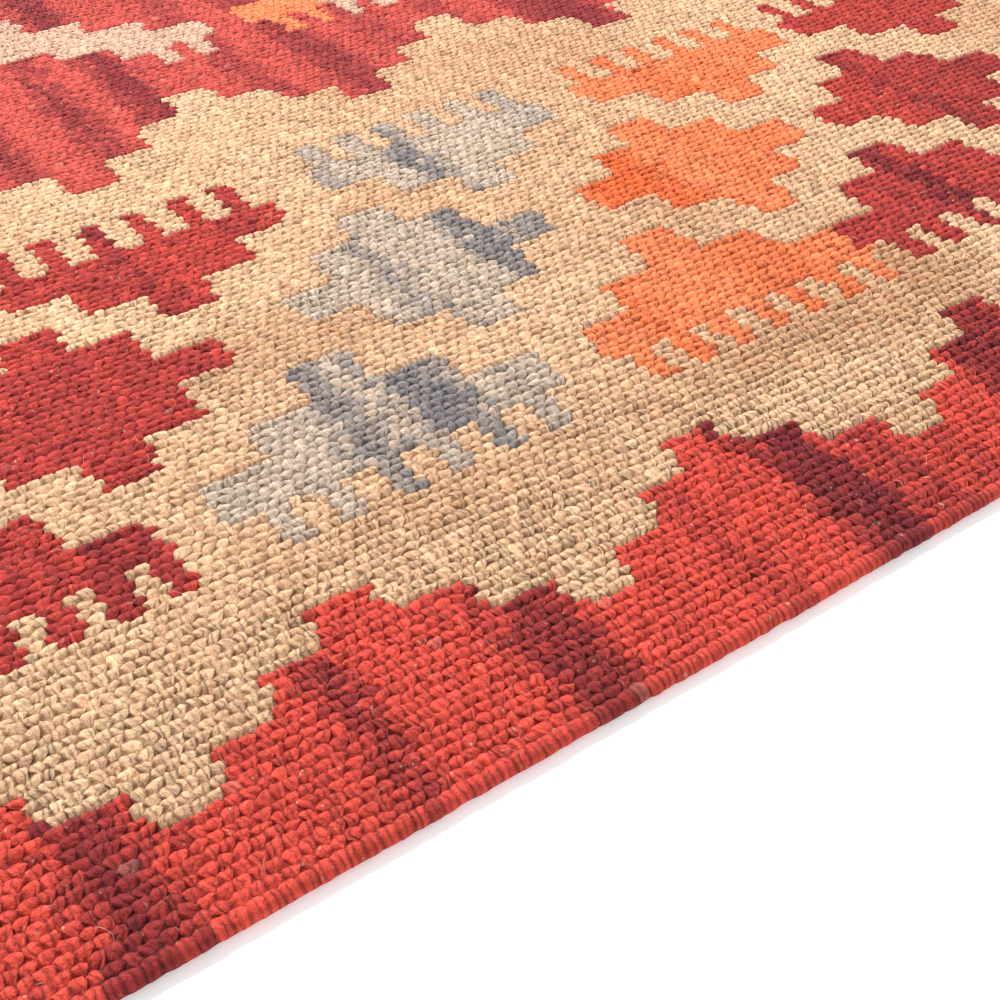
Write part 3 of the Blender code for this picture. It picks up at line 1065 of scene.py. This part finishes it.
def stray_wool_tree():
    """Geometry nodes that scatter bent fibres over the cloth and give them thickness."""
    tree = bpy.data.node_groups.new("scatter_stray_wool", "GeometryNodeTree")
    tree.interface.new_socket("Geometry", in_out="INPUT", socket_type="NodeSocketGeometry")
    tree.interface.new_socket("Geometry", in_out="OUTPUT", socket_type="NodeSocketGeometry")
    for name in ("Density", "Length", "Width"):
        tree.interface.new_socket(name, in_out="INPUT", socket_type="NodeSocketFloat")
    tree.interface.new_socket("Seed", in_out="INPUT", socket_type="NodeSocketInt")
    tree.interface.new_socket("Fibre", in_out="INPUT", socket_type="NodeSocketMaterial")
    given = add(tree, "NodeGroupInput").outputs

    lift = add(tree, "GeometryNodeInputNamedAttribute", {"Name": "lift"}, data_type="FLOAT")
    outer = add(tree, "FunctionNodeCompare", {0: lift, 1: 0.5}, data_type="FLOAT", operation="GREATER_THAN")
    scatter = add(
        tree, "GeometryNodeDistributePointsOnFaces",
        {"Mesh": given["Geometry"], "Selection": outer, "Density": given["Density"],
         "Seed": given["Seed"]},
    )
    # Each fibre leaves the yarn low, bends over and comes down again
    strand = add(
        tree, "GeometryNodeCurveQuadraticBezier",
        {"Resolution": 3, "Start": (-0.1, 0.0, -0.06), "Middle": (0.4, 0.25, 0.55),
         "End": (1.0, 0.0, 0.08)},
    )
    spin = add(
        tree, "FunctionNodeRandomValue",
        {"Min": -math.pi, "Max": math.pi, "Seed": 11}, data_type="FLOAT",
    )
    turned = add(tree, "ShaderNodeCombineXYZ", {"Z": spin.outputs[1]})
    local = add(tree, "FunctionNodeEulerToRotation", {"Euler": turned})
    rotation = add(
        tree, "FunctionNodeRotateRotation",
        {"Rotation": scatter.outputs["Rotation"], "Rotate By": local}, rotation_space="LOCAL",
    )
    share = add(
        tree, "FunctionNodeRandomValue", {"Min": 0.0, "Max": 1.0, "Seed": 23}, data_type="FLOAT"
    )
    cubed = add(tree, "ShaderNodeMath", {0: share.outputs[1], 1: 2.2}, operation="POWER")
    reach = add(
        tree, "ShaderNodeMath", {0: cubed, 1: 0.8, 2: 0.2}, operation="MULTIPLY_ADD"
    )
    size = add(tree, "ShaderNodeMath", {0: reach, 1: given["Length"]}, operation="MULTIPLY")
    placed = add(
        tree, "GeometryNodeInstanceOnPoints",
        {"Points": scatter.outputs["Points"], "Instance": strand, "Rotation": rotation, "Scale": size},
    )
    real = add(tree, "GeometryNodeRealizeInstances", {"Geometry": placed})
    noise = add(
        tree, "ShaderNodeTexNoise",
        {"Vector": add(tree, "GeometryNodeInputPosition"), "Scale": 420.0, "Detail": 1.0},
    )
    centred = add(
        tree, "ShaderNodeVectorMath", {0: noise.outputs["Color"], 1: (0.5, 0.5, 0.5)},
        operation="SUBTRACT",
    )
    bent = add(
        tree, "GeometryNodeSetPosition",
        {"Geometry": real, "Offset": add(
            tree, "ShaderNodeVectorMath", {0: centred, "Scale": 0.0022}, operation="SCALE")},
    )
    radius = add(tree, "ShaderNodeMath", {0: given["Width"], 1: 0.5}, operation="MULTIPLY")
    profile = add(tree, "GeometryNodeCurvePrimitiveCircle", {"Resolution": 3, "Radius": radius})
    solid = add(
        tree, "GeometryNodeCurveToMesh", {"Curve": bent, "Profile Curve": profile, "Fill Caps": True}
    )
    real_again = add(tree, "GeometryNodeRealizeInstances", {"Geometry": solid})
    dyed = add(tree, "GeometryNodeSetMaterial", {"Geometry": real_again, "Material": given["Fibre"]})
    add(tree, "NodeGroupOutput", {"Geometry": dyed})
    return tree


# Operators ----------------------------------------------------------------------------------


class KILIM_OT_cloth(bpy.types.Operator):
    """Weaves the rug from its chart, in lengths that lie end to end"""

    bl_idname = "kilim.cloth"
    bl_label = "Weave Cloth"

    def execute(self, context):
        weave, dyes = context.scene.kilim_weave, context.scene.kilim_dyes
        yarns, patches, seeds = float_yarns(weave, dyes)
        cloth = FlatCloth(weave)
        cloth.attributes(yarns, patches, seeds)
        flat = mesh_from("flat_cloth", cloth.points, cloth.corners, cloth.sizes)
        for name, values in (
            ("float_place", cloth.u), ("warp_place", cloth.v), ("lift", cloth.lift),
            ("slit", cloth.slit), ("turn", cloth.turn), ("parted", cloth.parted),
        ):
            put(flat, name, "FLOAT", "POINT", values)
        put(flat, "dye", "FLOAT_COLOR", "FACE", with_alpha(cloth.dye))
        put(flat, "yarn_seed", "FLOAT", "FACE", cloth.seed)
        woven = run_tree(
            raise_floats_tree(), flat, "woven_cloth",
            {
                "Float pitch": float_pitch(weave), "Warp pitch": warp_pitch(weave),
                "Relief": weave.relief, "Shoulder": weave.shoulder, "Saddle": weave.saddle,
                "Bulge": weave.bulge, "Spread": weave.spread, "Plumpness": weave.plumpness,
                "Slit": weave.slit, "Wobble": weave.wobble, "Crumple": weave.crumple,
                "Lean": weave.lean, "Flank": weave.flank, "Notch": weave.notch,
                "Seed": weave.seed, "Wool": wool_weft(),
            },
        )
        bpy.data.meshes.remove(flat)
        for band in range(BANDS):
            name = f"kilim_length_{band + 1}"
            mesh = band_mesh(woven, np.flatnonzero(cloth.band == band), name)
            piece = bpy.data.objects.new(name, mesh)
            context.scene.collection.objects.link(piece)
            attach(piece, "root")
            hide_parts("kilim_cloth")
        return {"FINISHED"}


class KILIM_OT_stray_wool(bpy.types.Operator):
    """Scatters loose fibres over the woven cloth"""

    bl_idname = "kilim.stray_wool"
    bl_label = "Scatter Stray Wool"

    def execute(self, context):
        weave, fuzz = context.scene.kilim_weave, context.scene.kilim_fuzz
        loose = run_tree(
            stray_wool_tree(), bpy.data.meshes["woven_cloth"], "kilim_stray_wool",
            {
                "Density": fuzz.density, "Length": fuzz.length, "Width": fuzz.width,
                "Seed": weave.seed, "Fibre": stray_wool(),
            },
        )
        strays = bpy.data.objects.new("kilim_stray_wool", loose)
        context.scene.collection.objects.link(strays)
        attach(strays, "root")
        return {"FINISHED"}


class KILIM_OT_stage(bpy.types.Operator):
    """Sets the floor, the soft lights and the camera"""

    bl_idname = "kilim.stage"
    bl_label = "Set Stage"

    def execute(self, context):
        scene, stage = context.scene, context.scene.kilim_stage
        scene.view_settings.view_transform = "Standard"
        mesh = bpy.data.meshes.new("floor")
        far = FLOOR_SIZE / 2
        corners = [(-far, -far, 0), (far, -far, 0), (far, far, 0), (-far, far, 0)]
        mesh.from_pydata(corners, [], [(0, 1, 2, 3)])
        mesh.materials.append(floor_paint(stage.floor))
        floor = bpy.data.objects.new("floor", mesh)
        floor.location.z = -FLOOR_GAP
        scene.collection.objects.link(floor)

        world = bpy.data.worlds.new("studio_fill")
        world.use_nodes = True
        background = world.node_tree.nodes["Background"]
        background.inputs["Color"].default_value = (1.0, 1.0, 1.0, 1.0)
        background.inputs["Strength"].default_value = stage.sky
        scene.world = world

        lamp = bpy.data.lights.new("key_softbox", "AREA")
        lamp.energy = stage.key
        lamp.shape = "DISK"
        lamp.size = stage.key_size
        key = bpy.data.objects.new("key_softbox", lamp)
        key.location = stage.key_place
        key.rotation_euler = (-key.location).to_track_quat("-Z", "Y").to_euler()
        scene.collection.objects.link(key)

        lens = bpy.data.cameras.new("camera")
        lens.lens = stage.lens
        lens.clip_start = 0.01
        camera = bpy.data.objects.new("camera", lens)
        level = Vector((math.sin(stage.turn), math.cos(stage.turn), 0.0)) * math.cos(stage.drop)
        heading = level - Vector((0.0, 0.0, math.sin(stage.drop)))
        look = heading.to_track_quat("-Z", "Y").to_matrix()
        camera.matrix_world = Matrix.LocRotScale(
            Vector(stage.target) - heading * stage.distance,
            (look @ Euler((0.0, 0.0, -stage.roll)).to_matrix()).to_quaternion(),
            None,
        )
        scene.collection.objects.link(camera)
        scene.camera = camera
        return {"FINISHED"}


class KILIM_PT_panel(bpy.types.Panel):
    """The rug's sizes, dyes and operators"""

    bl_idname = "KILIM_PT_panel"
    bl_label = "Kilim"
    bl_space_type = "VIEW_3D"
    bl_region_type = "UI"
    bl_category = "Kilim"

    def draw(self, context):
        scene = context.scene
        for group in (scene.kilim_weave, scene.kilim_dyes, scene.kilim_fuzz, scene.kilim_stage):
            box = self.layout.box()
            for name in group.__annotations__:
                box.prop(group, name)
        for operator in (KILIM_OT_stage, KILIM_OT_cloth, KILIM_OT_stray_wool):
            self.layout.operator(operator.bl_idname)


CLASSES = (
    KilimWeave, KilimDyes, KilimFuzz, KilimStage, KILIM_OT_cloth, KILIM_OT_stray_wool,
    KILIM_OT_stage, KILIM_PT_panel,
)
GROUPS = {
    "kilim_weave": KilimWeave, "kilim_dyes": KilimDyes, "kilim_fuzz": KilimFuzz,
    "kilim_stage": KilimStage,
}


def register():
    for kind in CLASSES:
        bpy.utils.register_class(kind)
    for name, kind in GROUPS.items():
        setattr(bpy.types.Scene, name, bpy.props.PointerProperty(type=kind))


def unregister():
    for name in GROUPS:
        delattr(bpy.types.Scene, name)
    for kind in reversed(CLASSES):
        bpy.utils.unregister_class(kind)


def main():
    register()
    bpy.ops.kilim.stage()
    bpy.ops.kilim.cloth()
    bpy.ops.kilim.stray_wool()


if __name__ == "__main__":
    main()
